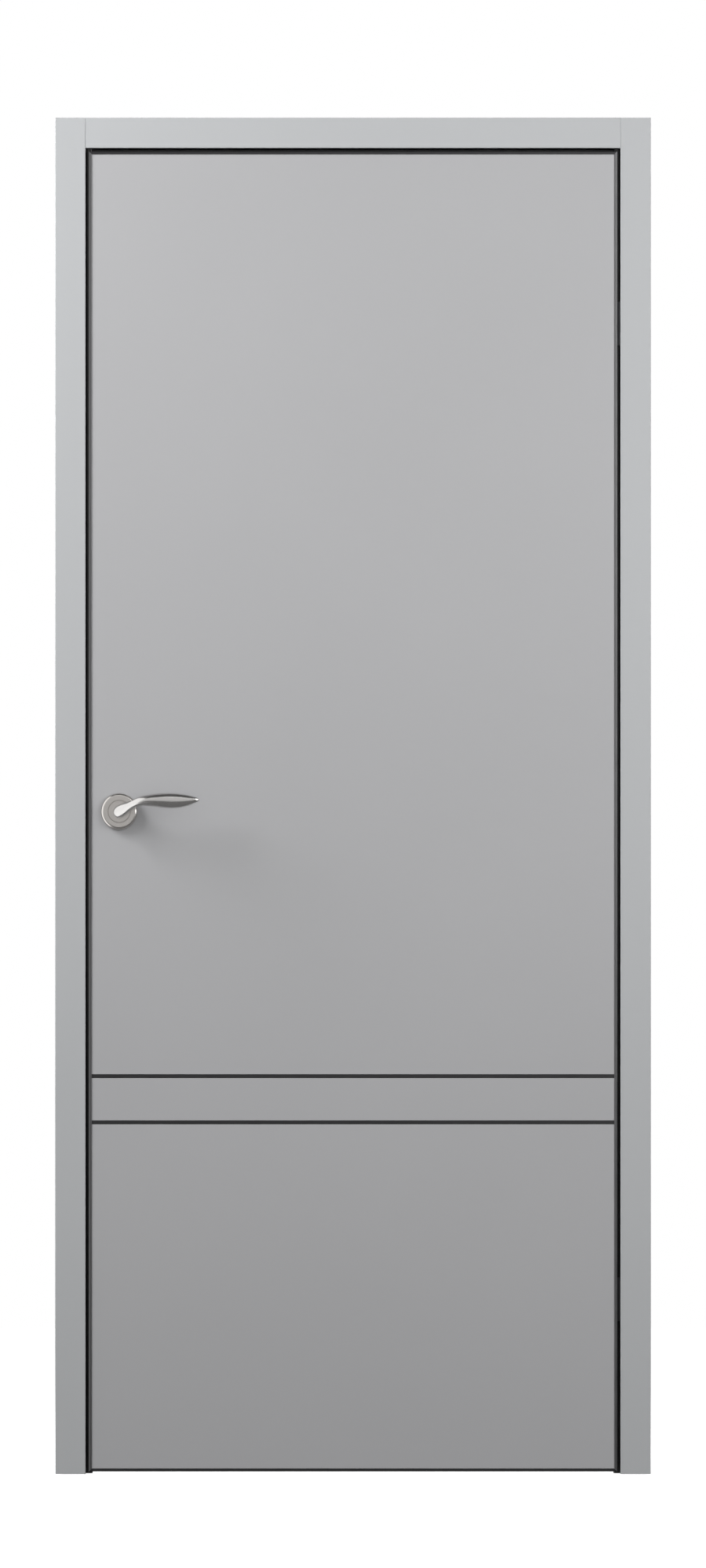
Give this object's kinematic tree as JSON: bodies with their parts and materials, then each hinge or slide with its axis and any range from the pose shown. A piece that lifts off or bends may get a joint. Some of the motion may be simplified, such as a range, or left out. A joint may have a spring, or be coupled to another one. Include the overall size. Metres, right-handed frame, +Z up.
{
  "type": "interior door set",
  "caption": "Flush interior door set: grey painted leaf with a black metal edge and inlaid strips, lever on a round rose, concealed hinges, and a lined frame with flat architraves.",
  "frame": {"origin": "on the wall face of the hinge jamb, at floor level and half way through its depth", "axes": "+X out of the hinge jamb's wall face, away from the leaf; +Z up; the front, which opens towards the viewer, faces -Y"},
  "size_m": [0.902, 0.16, 2.055],
  "materials": {
    "leaf_paint": "satin light grey paint on a fibre board",
    "architrave_paint": "satin light grey paint on a fibre board",
    "frame_paint": "satin light grey paint on a jointed board",
    "core_board": "raw particle board",
    "black_edge": "satin black anodised",
    "black_strip": "satin black anodised",
    "black_seal": "soft black rubber",
    "satin_nickel": "satin nickel plate",
    "dark_hardware": "satin dark plate",
    "plain_steel": "plain drawn steel"
  },
  "bodies": {
    "frame": {"lock_jamb": "frame_paint", "hinge_jamb": "frame_paint", "head_jamb": "frame_paint", "lock_stop": "frame_paint", "hinge_stop": "frame_paint", "head_stop": "frame_paint", "front_lock_architrave": "architrave_paint", "front_hinge_architrave": "architrave_paint", "front_head_architrave": "architrave_paint", "back_lock_architrave": "architrave_paint", "back_hinge_architrave": "architrave_paint", "back_head_architrave": "architrave_paint", "lock_seal": "black_seal", "hinge_seal": "black_seal", "head_seal": "black_seal", "strike_plate": "dark_hardware", "upper_hinge_frame_cup": "dark_hardware", "lower_hinge_frame_cup": "dark_hardware"},
    "leaf": {"leaf_core": "core_board", "front_skin": "leaf_paint", "back_skin": "leaf_paint", "lock_edge": "black_edge", "hinge_edge": "black_edge", "top_edge": "black_edge", "bottom_edge": "black_edge", "front_upper_strip": "black_strip", "front_lower_strip": "black_strip", "back_upper_strip": "black_strip", "back_lower_strip": "black_strip", "mortise_lock": "dark_hardware", "latch_bolt": "dark_hardware", "front_rose": "satin_nickel", "back_rose": "satin_nickel", "upper_hinge_leaf_cup": "dark_hardware", "lower_hinge_leaf_cup": "dark_hardware"},
    "lever_handle": {"front_lever": "satin_nickel", "back_lever": "satin_nickel", "spindle": "plain_steel"},
    "hinge_links": {"upper_hinge_link": "dark_hardware", "lower_hinge_link": "dark_hardware"}
  },
  "joints": [
    {"name": "leaf_swing", "type": "hinge", "parent": "frame", "child": "leaf", "pos_m": [-0.0425, -0.0555, 1], "axis": [0, 0, 1], "range_deg": [0, 110]},
    {"name": "lever_turn", "type": "hinge", "parent": "leaf", "child": "lever_handle", "pos_m": [-0.799, -0.031, 1.004], "axis": [0, 1, 0], "range_deg": [0, 40], "stiffness_Nm_per_rad": 1.6, "springref_deg": -22.92},
    {"name": "hinge_link_swing", "type": "hinge", "parent": "frame", "child": "hinge_links", "pos_m": [-0.0425, -0.0555, 1], "axis": [0, 0, 1], "range_deg": [0, 55]}
  ],
  "couplings": [
    {"joint": "hinge_link_swing", "follows": "leaf_swing", "ratio": 0.5}
  ]
}
